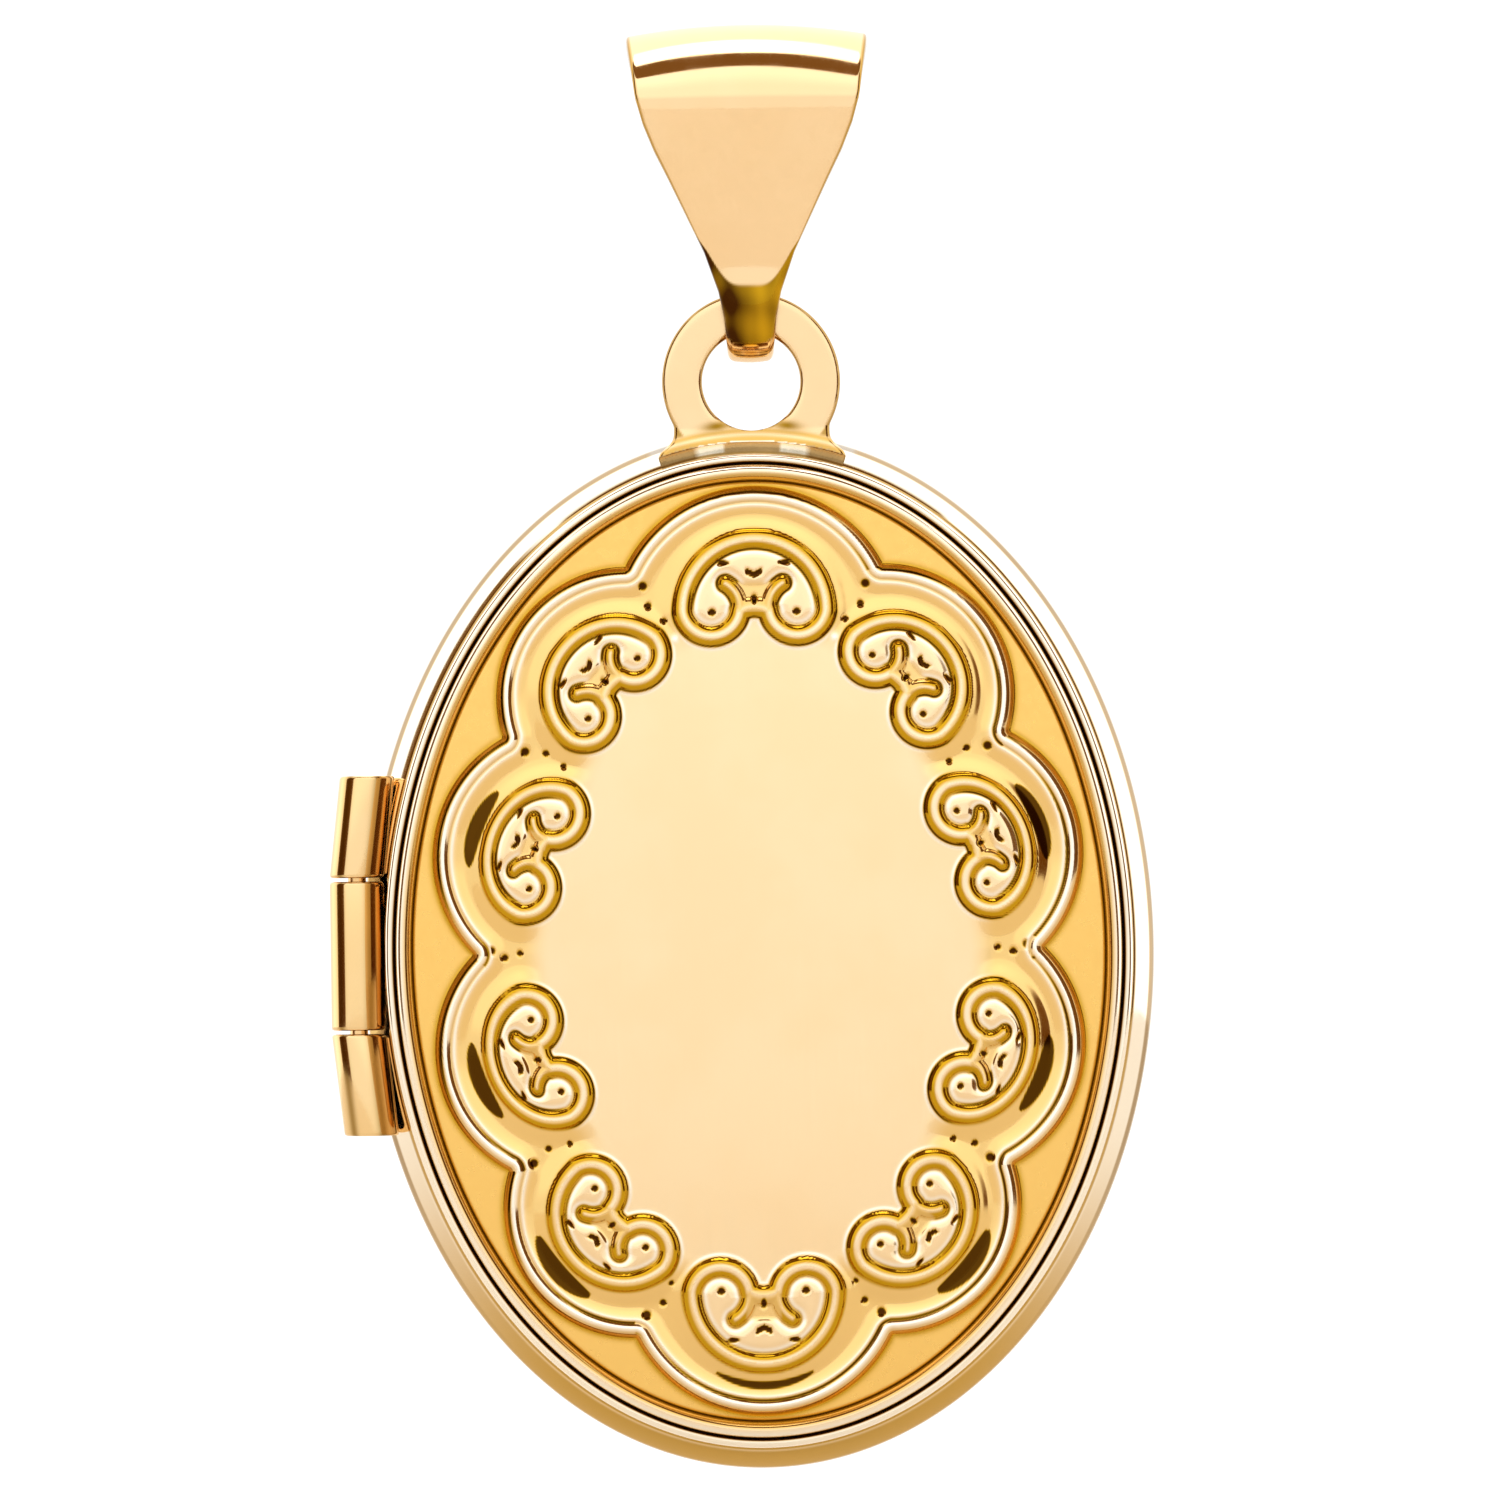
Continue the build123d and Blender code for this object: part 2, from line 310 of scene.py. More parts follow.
def gold(name, light=GOLD, warm=GOLD_WARM, rough=(0.07, 0.14), scratch=0.02, brushed=None):
    """Polished gold: two close tints, uneven polish, hairline scratches, painted highlight and painted shade.
    """
    material = bpy.data.materials.new(name)
    material.use_nodes = True
    n = Nodes(material.node_tree)
    shader = n.add("ShaderNodeBsdfPrincipled", in_Metallic=1.0)
    out = n.add("ShaderNodeOutputMaterial")
    n.set(out.inputs[0], shader.outputs[0])
    cloud = n.noise(420, 3)
    colour = n.mix(n.between(cloud, 0.35, 0.65), light, warm)
    # painted highlight, then two layers of painted shade, from the piece's masks
    colour = n.mix(n.mask("pale"), colour, GOLD_HIGHLIGHT)
    colour = n.mix(n.mask("painted_shade"), colour, GOLD_SHADE)
    colour = n.mix(n.mask("dark"), colour, GOLD_DARK_SHADE)
    n.set(shader.inputs["Base Color"], colour)
    polish = n.noise(1500, 4, roughness=0.7)
    n.set(shader.inputs["Roughness"], n.between(polish, 0.3, 0.7, rough[0], rough[1]))
    lines = n.noise(2600, 3, stretch=brushed or (1, 1, 0.06), roughness=0.8)
    bump = n.add("ShaderNodeBump", in_Strength=scratch, in_Distance=0.00002)
    n.set(bump.inputs["Height"], lines)
    n.set(shader.inputs["Normal"], bump.outputs[0])
    return material


def relief_gold():
    """Gold of the stamped front: satin ground, brushed middle, painted highlights on edges and painted shade
    in creases.
    """
    material = bpy.data.materials.new("relief_gold")
    material.use_nodes = True
    n = Nodes(material.node_tree)
    shader = n.add("ShaderNodeBsdfPrincipled", in_Metallic=1.0)
    out = n.add("ShaderNodeOutputMaterial")
    n.set(out.inputs[0], shader.outputs[0])
    cloud = n.noise(500, 3)
    colour = n.mix(n.between(cloud, 0.35, 0.65), GOLD, GOLD_WARM)
    # Painted shade: tan in the hollow band and deep ochre on the flanks; the field tint is the satin ground's
    # own colour; painted highlight along the crests.
    colour = n.mix(n.mask("tan"), colour, GOLD_TAN_SHADE)
    colour = n.mix(n.mask("field"), colour, GOLD_FIELD)
    colour = n.mix(n.mask("flank_shade"), colour, GOLD_SHADE)
    colour = n.mix(n.mask("crest"), colour, GOLD_HIGHLIGHT)
    # Painted shade along the creases and in the dimples, deep ochre at the edges of each line and near black
    # in its middle.
    crease_shade = n.mask("crease_shade")
    colour = n.mix(n.math("MULTIPLY", crease_shade, 1.7, clamp=True), colour, GOLD_SHADE)
    colour = n.mix(n.between(crease_shade, 0.35, 0.95), colour, GOLD_DARK_SHADE)
    n.set(shader.inputs["Base Color"], colour)
    grain = n.noise(4000, 2, roughness=0.8)
    polish = n.between(n.noise(1500, 4, roughness=0.7), 0.3, 0.7, 0.08, 0.15)
    satin = n.between(grain, 0.3, 0.7, 0.26, 0.38)
    brushed = n.between(n.noise(5000, 3, stretch=(1, 1, 0.04), roughness=0.8), 0.3, 0.7, 0.15, 0.21)
    rough = n.mask("field")
    mix1 = n.add("ShaderNodeMix", data_type="FLOAT")
    n.set(mix1.inputs[0], rough)
    n.set(mix1.inputs[2], polish)
    n.set(mix1.inputs[3], satin)
    mix2 = n.add("ShaderNodeMix", data_type="FLOAT")
    n.set(mix2.inputs[0], n.mask("panel"))
    n.set(mix2.inputs[2], mix1.outputs[0])
    n.set(mix2.inputs[3], brushed)
    n.set(shader.inputs["Roughness"], mix2.outputs[0])
    bump = n.add("ShaderNodeBump", in_Strength=0.05, in_Distance=0.00002)
    height = n.math("MULTIPLY", grain, n.mask("field"))
    lines = n.math("MULTIPLY", n.noise(3000, 3, stretch=(1, 1, 0.05), roughness=0.8), n.mask("panel"))
    n.set(bump.inputs["Height"], n.math("ADD", height, lines))
    n.set(shader.inputs["Normal"], bump.outputs[0])
    return material


def paper():
    material = bpy.data.materials.new("card_paper")
    material.use_nodes = True
    n = Nodes(material.node_tree)
    shader = n.add("ShaderNodeBsdfPrincipled")
    n.set(n.add("ShaderNodeOutputMaterial").inputs[0], shader.outputs[0])
    fibre = n.noise(2600, 4, roughness=0.7)
    n.set(shader.inputs["Base Color"], n.mix(fibre, (0.86, 0.83, 0.76, 1), (0.93, 0.91, 0.86, 1)))
    n.set(shader.inputs["Roughness"], n.between(fibre, 0.3, 0.7, 0.75, 0.92))
    bump = n.add("ShaderNodeBump", in_Strength=0.15, in_Distance=0.00002)
    n.set(bump.inputs["Height"], fibre)
    n.set(shader.inputs["Normal"], bump.outputs[0])
    return material


def window_glass():
    material = bpy.data.materials.new("window_clear")
    material.use_nodes = True
    n = Nodes(material.node_tree)
    shader = n.add("ShaderNodeBsdfPrincipled", in_IOR=1.49, in_Alpha=0.12)
    n.set(n.add("ShaderNodeOutputMaterial").inputs[0], shader.outputs[0])
    haze = n.noise(900, 4)
    n.set(shader.inputs["Base Color"], n.mix(haze, (0.96, 0.98, 0.98, 1), (0.99, 0.99, 0.99, 1)))
    n.set(shader.inputs["Roughness"], n.between(haze, 0.4, 0.8, 0.01, 0.06))
    return material


RIM_GOLD = gold("rim_gold", rough=(0.05, 0.11))
BACK_GOLD = gold("back_gold", rough=(0.10, 0.18), scratch=0.05, brushed=(1, 1, 0.1))
BAIL_GOLD = gold(
    "bail_gold", light=(0.94, 0.67, 0.375, 1), warm=(0.93, 0.65, 0.35, 1), rough=(0.06, 0.12)
)
LOOP_GOLD = gold("loop_gold", light=(0.92, 0.66, 0.365, 1), rough=(0.10, 0.2), scratch=0.04)
HINGE_GOLD = gold(
    "hinge_gold", light=(0.92, 0.65, 0.33, 1), warm=(0.90, 0.62, 0.29, 1), rough=(0.06, 0.12)
)
PIN_GOLD = gold("pin_gold", light=(0.92, 0.62, 0.30, 1), warm=(0.85, 0.52, 0.2, 1), rough=(0.15, 0.25))
INSIDE_GOLD = gold("inside_gold", light=(0.97, 0.70, 0.36, 1), rough=(0.18, 0.3), scratch=0.05)
COVER_GOLD = relief_gold()
PAPER = paper()
WINDOW = window_glass()


# ---- oval plates ----
def plate(name, lines, depths, middles, side, material, body, node, masks=None):
    """Closed plate from oval lines: out from the middle on the seam's face, back in on the outward face."""
    count, rows = len(lines[0]), len(lines)
    points = [np.stack([line[:, 0], side * depth, line[:, 1]], -1) for line, depth in zip(lines, depths)]
    points.append(np.array([[0, side * middles[1], 0], [0, side * middles[0], 0]]))
    i = np.arange(count)
    j = (i + 1) % count
    last = (rows - 1) * count
    outward = np.stack([last + i, last + j, np.full(count, rows * count)], -1)
    inward = np.stack([j, i, np.full(count, rows * count + 1)], -1)
    full = {}
    for key, values in (masks or {}).items():
        full[key] = np.concatenate([np.zeros(rows * count - len(values)), values, [values[-1], 0]])
    return new_piece(name, np.concatenate(points), grid_quads(rows, count), material, body, [node],
                     np.concatenate([outward, inward]), full, flip=side > 0)


def underside(count):
    """Hollow inward face of a cover, from its middle out to its edge."""
    lines, depths = [], []
    for s in np.linspace(0.05, 0.96, 8):
        lines.append(oval(HOLLOW_EDGE, count) * s)
        depths.append(np.full(count, SEAT + HOLLOW * (1 - s * s)))
    for r, h in ((HOLLOW_EDGE, SEAT), (PLATE - 0.05, SEAT), (COVER_EDGE, SEAT + 0.02)):
        lines.append(oval(r, count))
        depths.append(np.full(count, h))
    return lines, depths


# ---- relief of the front cover ----
class Arc:
    """Arc through three points, with the distance of other points from it."""

    def __init__(self, start, middle, end):
        self.points = np.array(arc_points(start, middle, end, 33))
        a, b, c = self.points[0], self.points[16], self.points[32]
        bend = np.array([b - a, c - a]) * 2
        right = np.array([b @ b - a @ a, c @ c - a @ a])
        self.centre = np.linalg.solve(bend, right)
        self.radius = math.hypot(*(a - self.centre))
        self.ends = (a, c)
        self.way = (b - self.centre) / self.radius
        self.spread = (a - self.centre) @ self.way / self.radius

    def distance(self, x, z):
        dx, dz = x - self.centre[0], z - self.centre[1]
        reach = np.hypot(dx, dz) + 1e-9
        along = (dx * self.way[0] + dz * self.way[1]) / reach
        ends = np.minimum(
            np.hypot(x - self.ends[0][0], z - self.ends[0][1]),
            np.hypot(x - self.ends[1][0], z - self.ends[1][1]),
        )
        return np.where(along >= self.spread, np.abs(reach - self.radius), ends)


def bulged(start, end, amount):
    """Arc between two points that stands out from the middle of the case."""
    start, end = np.array(start), np.array(end)
    middle = (start + end) / 2
    across = np.array([end[1] - start[1], start[0] - end[0]]) / np.linalg.norm(end - start)
    if across @ middle < 0:
        across = -across
    return Arc(start, middle + across * amount, end)


def scallop():
    """The ten arcs of the raised pad's outline, and its inward points in order."""
    quarter = [CUSP_TOP, CUSP_UPPER, CUSP_SIDE]
    right = quarter + [(x, -z) for x, z in quarter[-2::-1]]
    left = [(-x, z) for x, z in right[::-1]]
    cusps = right + left
    bulges = [BULGE_SHOULDER, BULGE_SIDE, BULGE_SIDE, BULGE_SHOULDER, BULGE_END]
    arcs = []
    for i, start in enumerate(cusps):
        arcs.append(bulged(start, cusps[(i + 1) % len(cusps)], bulges[i % len(bulges)]))
    return arcs, cusps


def lobes():
    """(centre, turn in degrees, scale, arch height) of each lobe, clockwise from the top."""
    right = [
        (LOBE_END, 0, 1.0, 1.0),
        (LOBE_SHOULDER, TURN_SHOULDER, SMALL, 0.93),
        (LOBE_SIDE, TURN_SIDE, SMALL, 0.80),
    ]
    right += [((x, -z), 180 - turn, size, arch) for (x, z), turn, size, arch in right[:0:-1]]
    right.append(((0, -LOBE_END[1]), 180, 1.0, 1.0))
    left = [((-x, z), -turn, size, arch) for (x, z), turn, size, arch in right[-2:0:-1]]
    return right + left


def in_polygon(x, z, corners):
    inside = np.zeros(x.shape, bool)
    for (ax, az), (bx, bz) in zip(corners, corners[1:] + corners[:1]):
        if az == bz:
            continue
        crosses = (az > z) != (bz > z)
        inside ^= crosses & (x < (bx - ax) * (z - az) / (bz - az) + ax)
    return inside


SCALLOP_ARCS, CUSPS = scallop()
LOBES = lobes()
SCROLL = [
    Arc((-ARCH, 0.0), (0, ARCH + 0.03), (ARCH, 0.0)),
    Arc((-ARCH, 0.0), (-CURL_X, -CURL_DEPTH), (-CURL_IN, 0.02)),
    Arc((ARCH, 0.0), (CURL_X, -CURL_DEPTH), (CURL_IN, 0.02)),
    Arc((-CURL_IN, 0.02), (0, 0.10), (CURL_IN, 0.02)),
]
FINGERS = [
    Arc((-CURL_IN, 0.02), (-0.32, 0.30), (-0.54, 0.54)),
    Arc((CURL_IN, 0.02), (0.32, 0.30), (0.54, 0.54)),
]


def to_lobe(x, z, lobe):
    (cx, cz), turn, size, arch = lobe
    s, c = math.sin(math.radians(turn)), math.cos(math.radians(turn))
    dx, dz = x - cx, z - cz
    u, v = (dx * c - dz * s) / size, (dx * s + dz * c) / size
    return u, np.where(v > 0, v / arch, v)


def from_lobe(u, v, lobe):
    (cx, cz), turn, size, arch = lobe
    s, c = math.sin(math.radians(turn)), math.cos(math.radians(turn))
    return cx + (u * c + v * s) * size, cz + (-u * s + v * c) * size


def panel_corners():
    """Outline of the middle panel: a junction between neighbouring lobes, then each lobe's notch."""
    corners = []
    for lobe, following in zip(LOBES, LOBES[1:] + LOBES[:1]):
        corners.append(from_lobe(0, 0.02, lobe))
        here = from_lobe(1.42, -0.36, lobe)
        there = from_lobe(-1.42, -0.36, following)
        corners.append(((here[0] + there[0]) / 2, (here[1] + there[1]) / 2))
    return corners


def outline_distance(x, z, corners):
    """Distance to a closed outline, positive inside it."""
    corners = [np.array(corner) for corner in corners]
    near = np.full(x.shape, 9.0)
    for start, end in zip(corners, corners[1:] + corners[:1]):
        along = end - start
        share = np.clip(((x - start[0]) * along[0] + (z - start[1]) * along[1]) / (along @ along), 0, 1)
        foot_x, foot_z = start[0] + share * along[0], start[1] + share * along[1]
        near = np.minimum(near, np.hypot(x - foot_x, z - foot_z))
    return np.where(in_polygon(x, z, [tuple(corner) for corner in corners]), near, -near)


def junctions():
    """(cusp, inner end) of the valley between each lobe and the next."""
    inner = panel_corners()[1::2]
    return [(cusp, min(inner, key=lambda p: math.dist(p, cusp))) for cusp in CUSPS]


def relief(x, z):
    """Height of the stamped front and its colour masks: satin ground, painted shade and painted highlight."""
    rho2 = (x / DOME) ** 2 + (z / (DOME + STRETCH)) ** 2
    height = FIELD_TOP - (FIELD_TOP - BEAD_BASE + 0.02) * rho2

    edge = np.min([arc.distance(x, z) for arc in SCALLOP_ARCS], axis=0)
    inside = in_polygon(x, z, CUSPS)
    for arc in SCALLOP_ARCS:
        chord = arc.ends[1] - arc.ends[0]
        out = (x - arc.ends[0][0]) * chord[1] - (z - arc.ends[0][1]) * chord[0]
        way = arc.way @ np.array([chord[1], -chord[0]])
        inside |= (out * way > 0) & (np.hypot(x - arc.centre[0], z - arc.centre[1]) < arc.radius)
    edge = np.where(inside, edge, -edge)

    ridge = np.full(x.shape, 9.0)
    finger = np.full(x.shape, 9.0)
    pocket = np.zeros(x.shape, bool)
    pit = np.zeros(x.shape)
    outward = np.zeros(x.shape)
    shade = np.zeros(x.shape)
    valley = np.zeros(x.shape)
    low = np.zeros(x.shape)
    for lobe in LOBES:
        u, v = to_lobe(x, z, lobe)
        near = np.nonzero((np.abs(u) < 2.4) & (np.abs(v) < 2.6))[0]
        un, vn, size = u[near], v[near], lobe[2]
        reach = np.hypot(un, vn) + 1e-6
        d = np.min([arc.distance(un, vn) for arc in SCROLL], axis=0) * size
        closer = d < ridge[near]
        outward[near] = np.where(closer, vn / reach, outward[near])
        low[near] = np.where(closer, smoothstep(-3.5, -6.3, lobe[0][1]), low[near])
        ridge[near] = np.minimum(ridge[near], d)
        to_finger = np.min([arc.distance(un, vn) for arc in FINGERS], axis=0) * size
        finger[near] = np.minimum(finger[near], to_finger)
        arch = (vn >= 0) & (reach < ARCH + 0.015)
        curl_z = -CURL_DEPTH + ((ARCH - CURL_IN) ** 2 / 4 + CURL_DEPTH**2) / (2 * CURL_DEPTH)
        curl = (vn < 0.02) & (np.hypot(np.abs(un) - CURL_X, vn - curl_z) < CURL_DEPTH + curl_z)
        pocket[near] |= arch | curl
        # dimples at the curl centres, over the finger tips and low in the middle, and a V mark: cut into the
        # height and darkened with painted shade
        pit[near] += np.exp(-(((np.abs(un) - 0.80) ** 2 + vn**2) / 0.075**2) ** 3)
        pit[near] += np.exp(-((((np.abs(un) - 0.58) / 0.12) ** 2 + ((vn - 0.93) / 0.05) ** 2) ** 3))
        pit[near] += np.exp(-((un / 0.06) ** 2 + ((vn - 0.24) / 0.10) ** 2) ** 3)
        chevron = np.abs(vn - 0.70 - 0.5 * np.abs(un))
        pit[near] += smoothstep(0.17, 0.13, np.abs(un)) * smoothstep(0.075, 0.045, chevron)
        between_curls = smoothstep(0.36, 0.28, np.abs(un)) * smoothstep(0.62, 0.50, vn) * arch
        valley[near] = np.maximum(valley[near], between_curls)
        if lobe[0][1] < 3:
            spread, fullness = (27, 1) if abs(lobe[0][0]) > 0.1 else (32, 0.45)
            swing = np.degrees(np.arccos(np.clip(vn / reach, -1, 1))) / spread
            width = 0.185 * np.sqrt(np.clip(1 - swing**2, 0, 1)) * fullness
            crescent = smoothstep(0.02, -0.02, np.abs(d - 0.41) - width) * (width > 0.02)
            shade[near] = np.maximum(shade[near], crescent)

    # three dents down each valley between lobes, darkened with painted shade, and a raised ball with a
    # painted highlight where the top lobe meets each neighbour
    ball = np.zeros(x.shape)
    speck = np.zeros(x.shape)
    for k, (cusp, inner) in enumerate(junctions()):
        along = np.array(inner) - np.array(cusp)
        across = np.array([along[1], -along[0]]) / np.linalg.norm(along)
        for share, off, size in ((0.30, 0.07, 0.09), (0.52, -0.06, 0.07), (0.76, 0.02, 0.06)):
            spot = np.array(cusp) + along * share + across * off * (-1) ** k
            speck += np.exp(-(((x - spot[0]) ** 2 + (z - spot[1]) ** 2) / size**2) ** 3)
        ball += (inner[1] > 5.5) * np.exp(-(((x - inner[0]) ** 2 + (z - inner[1]) ** 2) / 0.07**2))
    speck = np.clip(speck, 0, 1) * smoothstep(0.22, 0.30, ridge) * smoothstep(0.34, 0.42, edge)
    pit = np.clip(pit, 0, 1) * pocket

    middle = smoothstep(-0.30, 0.30, outline_distance(x, z, panel_corners()))
    scroll = np.where(pocket, np.minimum(ridge, finger + 0.035), ridge)
    outer = inside & ~pocket
    band = outer * (1 - middle)

    # pad edge: steep side, raised shoulder with a painted highlight, and thin groove
    height += PAD * smoothstep(0.0, 0.12, edge)
    height += outer * (0.035 * line_at(edge, 0.20, 0.055) - 0.03 * line_at(edge, 0.31, 0.03))
    # broad hollow between the shoulder and the scroll
    hollow = smoothstep(0.30, 0.66, edge) * smoothstep(0.13, 0.56, ridge) * band
    height -= 0.10 * hollow

    # rounded scroll with a pillow in each pocket
    tube = np.sqrt(np.clip(1 - (scroll / 0.175) ** 2, 0, 1)) * inside
    height += 0.10 * tube
    pillow = smoothstep(0.17, 0.40, scroll) * (1 - valley)
    height += np.where(pocket, 0.055 * pillow, 0)
    height -= 0.04 * pit + 0.03 * speck
    height += 0.02 * ball * (scroll > 0.1)

    # middle panel
    level = FIELD_TOP + PANEL - 0.28 * rho2
    settle = smoothstep(0.17, 0.27, ridge) * middle * outer
    height = height * (1 - settle) + level * settle

    towards = facing(x, z)
    masks = {}
    masks["field"] = smoothstep(0.03, -0.02, edge)
    # painted shade in the hollow band and in the valley between the curls
    masks["tan"] = np.maximum(band * smoothstep(0.3, 0.5, edge), valley * 0.9)
    # painted shade on the steep sides of the pad edge and of the scroll
    flank_shade = line_at(edge, 0.02, 0.075)
    sides = smoothstep(0.035, 0.085, scroll) * smoothstep(0.22, 0.18, scroll)
    masks["flank_shade"] = np.maximum(flank_shade, inside * sides * (1 - 0.6 * valley))
    # painted highlight along the scroll, the pad's shoulder, a line further in on the band, round the
    # pockets, along the panel's edge and on the ball
    crest = inside * line_at(scroll, 0.0, 0.03) * np.where(finger < ridge, 0.0, 0.25)
    crest = np.maximum(crest, outer * line_at(edge, 0.205, 0.05))
    crest = np.maximum(crest, band * 0.7 * line_at(edge, 0.37, 0.03))
    crest = np.maximum(crest, pocket * 0.8 * line_at(scroll, 0.255, 0.04) * (1 - valley))
    crest = np.maximum(crest, outer * middle * 0.8 * line_at(ridge, 0.24, 0.035))
    masks["crest"] = np.maximum(crest, ball)
    # painted shade along two lines inside the pad's outline, each heavier on the side it faces (the first up
    # and to the left, the second down and to the right), along the scroll's edges, in the crescents on the
    # band and in the dimples
    crease_shade = (0.25 + 0.75 * smoothstep(0.0, 0.6, towards)) * line_at(edge, 0.115, 0.034)
    away = 0.35 + 0.65 * smoothstep(0.3, -0.5, towards)
    crease_shade = np.maximum(crease_shade, outer * away * line_at(edge, 0.305, 0.034))
    arch_side = smoothstep(-0.2, 0.5, outward) * (1 - 0.65 * low)
    inner_line = (0.3 + 0.7 * arch_side) * line_at(scroll, 0.198, 0.032)
    crease_shade = np.maximum(crease_shade, pocket * inner_line * (1 - valley))
    panel_side = (1.0 - 0.85 * smoothstep(-0.1, 0.4, outward)) * (1 - 0.5 * low)
    crease_shade = np.maximum(crease_shade, outer * panel_side * line_at(ridge, 0.190, 0.028))
    crease_shade = np.maximum(crease_shade, shade * band * 0.86)
    masks["crease_shade"] = np.maximum(crease_shade, np.maximum(pit, speck * inside))
    masks["panel"] = middle * outer * smoothstep(0.2, 0.3, ridge)
    return height, masks


def facing(x, z):
    """How far the outline nearest each point looks up and to the left, -1 to 1."""
    best = np.full(x.shape, 9.0)
    look = np.zeros(x.shape)
    for arc in SCALLOP_ARCS:
        dx, dz = x - arc.centre[0], z - arc.centre[1]
        reach = np.hypot(dx, dz) + 1e-6
        near = arc.distance(x, z)
        look = np.where(near < best, (-0.64 * dx + 0.77 * dz) / reach, look)
        best = np.minimum(best, near)
    return look


def bead_radii(steps):
    """Radii across the bead, closer together at its edges."""
    return [COVER_EDGE - 0.32 * (1 - math.cos(a)) / 2 for a in np.linspace(0, math.pi, steps)]


def front_cover():
    """The stamped plate: relief on top, bead round it, thin hollow underside."""
    count = ROUND
    bead = bead_radii(17)
    apron = list(np.linspace(BEAD_IN - 0.015, APRON, 8))
    outer = oval(APRON, count)
    scales = np.concatenate([np.linspace(1, 0.44, 150)[1:], np.linspace(0.44, 0.02, 24)[1:]])
    lines = [oval(r, count) for r in bead + apron] + [outer * s for s in scales]
    flat = np.concatenate(lines)
    x, z = flat[:, 0], flat[:, 1]
    height, masks = relief(x, z)

    radius = np.repeat(bead + apron + [APRON * s for s in scales], count)
    middle, half = (COVER_EDGE + BEAD_IN) / 2, (COVER_EDGE - BEAD_IN) / 2
    arch = np.sqrt(np.clip(1 - ((radius - middle) / half) ** 2, 0, 1))
    on_bead = radius >= BEAD_IN - 1e-6
    height = np.where(on_bead, BEAD_BASE - 0.01 + (BEAD_TOP - BEAD_BASE) * arch, height)
    groove = line_at(radius, BEAD_IN - 0.03, 0.03)
    height -= 0.03 * groove * ~on_bead
    masks["field"] = np.where(on_bead, 0, masks["field"])
    # On the bead: painted shade on its inner side, along the groove inside it and at the plate's edge;
    # painted highlight near its outer edge.
    bead_flank_shade = 0.85 * line_at(radius, BEAD_IN + 0.09, 0.045)
    masks["flank_shade"] = np.where(on_bead, bead_flank_shade, masks["flank_shade"] * (radius < 6.5))
    masks["crest"] = np.where(on_bead, 0.8 * line_at(radius, PLATE - 0.09, 0.065), masks["crest"])
    dark = 0.9 * line_at(radius, BEAD_IN - 0.03, 0.028) + 0.85 * line_at(radius, PLATE - 0.01, 0.036)
    masks["crease_shade"] = np.maximum(masks["crease_shade"] * (radius < 6.5), dark)

    under_lines, under_depths = underside(count)
    plate("front_cover_relief", under_lines + lines, under_depths + list(height.reshape(-1, count)),
          (SEAT + HOLLOW, height[-1]), -1, COVER_GOLD, "front_half", "front_cover", masks)


def back_cover():
    """Plain domed plate with the same bead and a flat oval in the middle."""
    count = BACK_ROUND
    bead = bead_radii(15)
    lines = [oval(r, count) for r in bead]
    middle, half = (COVER_EDGE + BEAD_IN) / 2, (COVER_EDGE - BEAD_IN) / 2
    heights = []
    for r in bead:
        arch = math.sqrt(max(0, 1 - ((r - middle) / half) ** 2))
        heights.append(np.full(count, BEAD_BASE - 0.01 + 0.2 * arch))
    inner = oval(BEAD_IN - 0.03, count)
    for s in np.linspace(1, 0.02, 60):
        line = inner * s
        rho2 = (line[:, 0] / DOME) ** 2 + (line[:, 1] / (DOME + STRETCH)) ** 2
        dome = BACK_TOP - (BACK_TOP - BEAD_BASE + 0.02) * rho2
        lines.append(line)
        heights.append(np.minimum(dome, BACK_FLAT) - 0.002 * line_at(dome, BACK_FLAT, 0.01))
    under_lines, under_depths = underside(count)
    plate("back_cover_plate", under_lines + lines, under_depths + heights, (SEAT + HOLLOW, BACK_FLAT), 1,
          BACK_GOLD, "back_half", "back_cover")


# ---- rims, collar and photo frames ----
def rim_inside(bore):
    return [(STACK, SEAT), (STACK, STEP), (bore, STEP), (bore, GAP)]


def front_rim():
    wall = [(LID, GAP), (LID, 0.4), (LID, 0.7), (LID, LIP - 0.14)]
    lip = arc_points((LID - 0.005, LIP - 0.10), (LID - 0.06, LIP - 0.01), (PLATE + 0.005, LIP - 0.03), 8)
    profile = wall + lip + [(PLATE + 0.005, SEAT)] + rim_inside(BORE)
    profile = rounded(profile, 0.025, 3)
    points, quads = oval_ring(profile, RIM_ROUND, -1)
    # painted shade: a dark line where the lip meets the plate, and shade at the foot of the outer wall by the
    # seam; painted highlight on the lip
    dark = []
    for r, h in profile:
        dark.append(max(0.8 * line_at(r, PLATE, 0.038), 0.5 * smoothstep(0.5, 0.2, h) * (r > 7)))
    painted_shade = [line_at(r, PLATE, 0.05) for r, h in profile]
    pale = [0.8 * (PLATE + 0.03 < r < LID - 0.01 and h > SEAT) for r, h in profile]
    masks = {}
    for key, values in (("dark", dark), ("painted_shade", painted_shade), ("pale", pale)):
        masks[key] = np.repeat(values, RIM_ROUND)
    new_piece("front_rim_band", points, quads, RIM_GOLD, "front_half", ["front_rim"], masks=masks)


def cut(piece, outline, way):
    """Cuts the column swept by an outline out of a piece. The outline turns left seen against the way."""
    count = len(outline)
    mesh = bpy.data.meshes.new("cutter")
    points = (np.concatenate([outline, outline + np.array(way)]) + CASE) * MM
    faces = [list(map(int, q)) for q in grid_quads(2, count)]
    faces += [list(range(count))[::-1], [count + k for k in range(count)]]
    mesh.from_pydata(points.tolist(), [], faces)
    cutter = bpy.data.objects.new("cutter", mesh)
    bpy.context.scene.collection.objects.link(cutter)
    tool = piece.modifiers.new("cut", "BOOLEAN")
    tool.operation = "DIFFERENCE"
    tool.solver = "EXACT"
    tool.object = cutter
    graph = bpy.context.evaluated_depsgraph_get()
    result = bpy.data.meshes.new_from_object(piece.evaluated_get(graph))
    piece.modifiers.clear()
    piece.data = result
    bpy.data.objects.remove(cutter)


